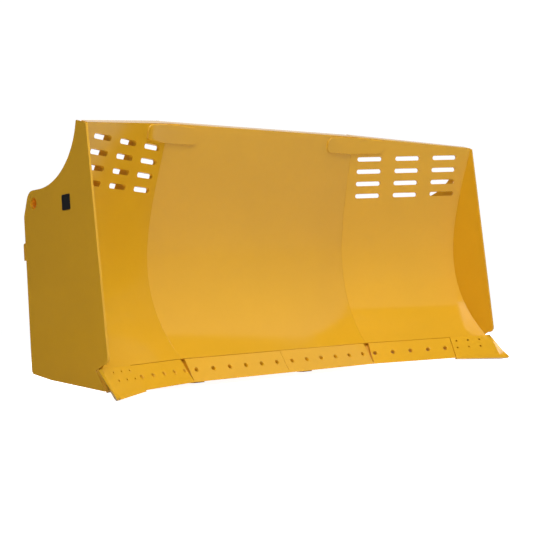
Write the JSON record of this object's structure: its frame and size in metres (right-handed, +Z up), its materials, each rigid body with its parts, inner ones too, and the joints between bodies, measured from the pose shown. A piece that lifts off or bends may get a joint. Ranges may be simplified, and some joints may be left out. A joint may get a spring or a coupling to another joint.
{
  "type": "skid steer bucket",
  "caption": "Wide scoop bucket with a curved moldboard, angled slotted wings, side plates, bolt-on edges, end bits and a rear quick-attach frame.",
  "frame": {"origin": "on the ground, under the middle of the width and of the depth", "axes": "+X to the right seen from the loader's seat, +Y to the rear towards the loader, +Z up; the bucket opens to -Y"},
  "size_m": [1.9316, 0.6076, 0.9419],
  "materials": {
    "moldboard_paint": "semi-gloss construction-yellow enamel",
    "side_paint": "semi-gloss construction-yellow enamel",
    "edge_paint": "semi-gloss construction-yellow enamel on hardened plate",
    "frame_paint": "semi-gloss construction-yellow enamel",
    "badge_black": "plain black"
  },
  "bodies": {
    "root": {"moldboard_center": "moldboard_paint", "moldboard_left": "moldboard_paint", "moldboard_right": "moldboard_paint", "side_plate_left": "side_paint", "side_plate_right": "side_paint", "lifting_boss_left": "side_paint", "lifting_boss_right": "side_paint", "side_badge": "badge_black", "top_rail_center": "moldboard_paint", "top_rail_left": "moldboard_paint", "top_rail_right": "moldboard_paint", "fold_strap_left": "moldboard_paint", "fold_strap_right": "moldboard_paint", "cutting_edge_center_left": "edge_paint", "cutting_edge_center_right": "edge_paint", "cutting_edge_wing_left": "edge_paint", "cutting_edge_wing_right": "edge_paint", "end_bit_left": "edge_paint", "end_bit_right": "edge_paint", "base_bar_center": "frame_paint", "base_bar_left": "frame_paint", "base_bar_right": "frame_paint", "wing_rib_inner_left": "frame_paint", "wing_rib_inner_right": "frame_paint", "wing_rib_outer_left": "frame_paint", "wing_rib_outer_right": "frame_paint", "center_rib_inner_left": "frame_paint", "center_rib_inner_right": "frame_paint", "center_rib_outer_left": "frame_paint", "center_rib_outer_right": "frame_paint", "rear_cross_bar": "frame_paint", "belly_plate": "frame_paint", "heel_shoe_left": "frame_paint", "heel_shoe_right": "frame_paint", "attach_face_plate": "frame_paint", "attach_head_bar": "frame_paint", "attach_top_hook": "frame_paint", "attach_skirt": "frame_paint", "attach_bottom_ledge": "frame_paint", "attach_cheek_left": "frame_paint", "attach_cheek_right": "frame_paint"}
  },
  "joints": []
}
